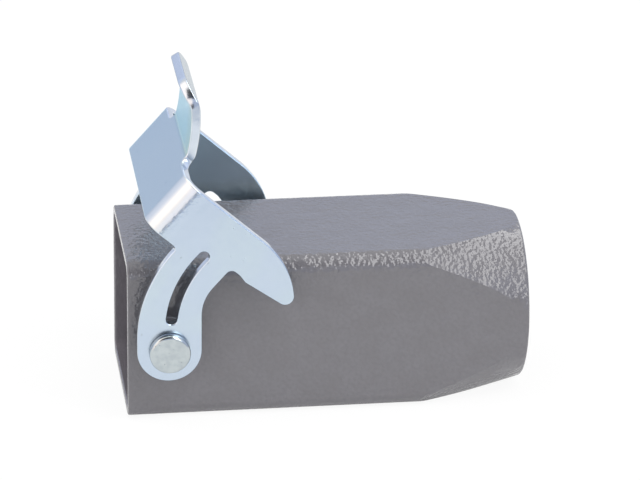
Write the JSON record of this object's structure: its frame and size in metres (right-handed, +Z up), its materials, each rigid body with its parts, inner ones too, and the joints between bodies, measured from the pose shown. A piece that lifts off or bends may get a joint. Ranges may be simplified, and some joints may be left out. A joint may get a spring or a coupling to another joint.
{
  "type": "heavy-duty connector housing",
  "caption": "Square die-cast coupling hood with a round threaded cable end and a bent sheet-steel locking lever that swings on rivets to hook the mating half.",
  "frame": {"origin": "centre of the mouth plane, where the mating half meets the hood", "axes": "+X along the hood from the mouth to the cable end, +Y from the near arm to the far arm, +Z up, towards the raised lever"},
  "size_m": [0.065, 0.0368, 0.0557],
  "materials": {
    "hammer_paint": "semi-gloss hammered grey paint on zinc die casting",
    "seal_rubber": "matt black rubber",
    "plated_sheet": "clear zinc plating on sheet steel",
    "plated_rivet": "zinc-plated steel"
  },
  "bodies": {
    "hood": {"housing": "hammer_paint", "mouth_seal": "seal_rubber", "pivot_rivet_near": "plated_rivet", "pivot_rivet_far": "plated_rivet"},
    "lever": {"locking_lever": "plated_sheet"}
  },
  "joints": [
    {"name": "lever_pivot", "type": "hinge", "parent": "hood", "child": "lever", "pos_m": [0.00635, 0, 0], "axis": [0, -1, 0], "range_deg": [-52, 220]}
  ]
}
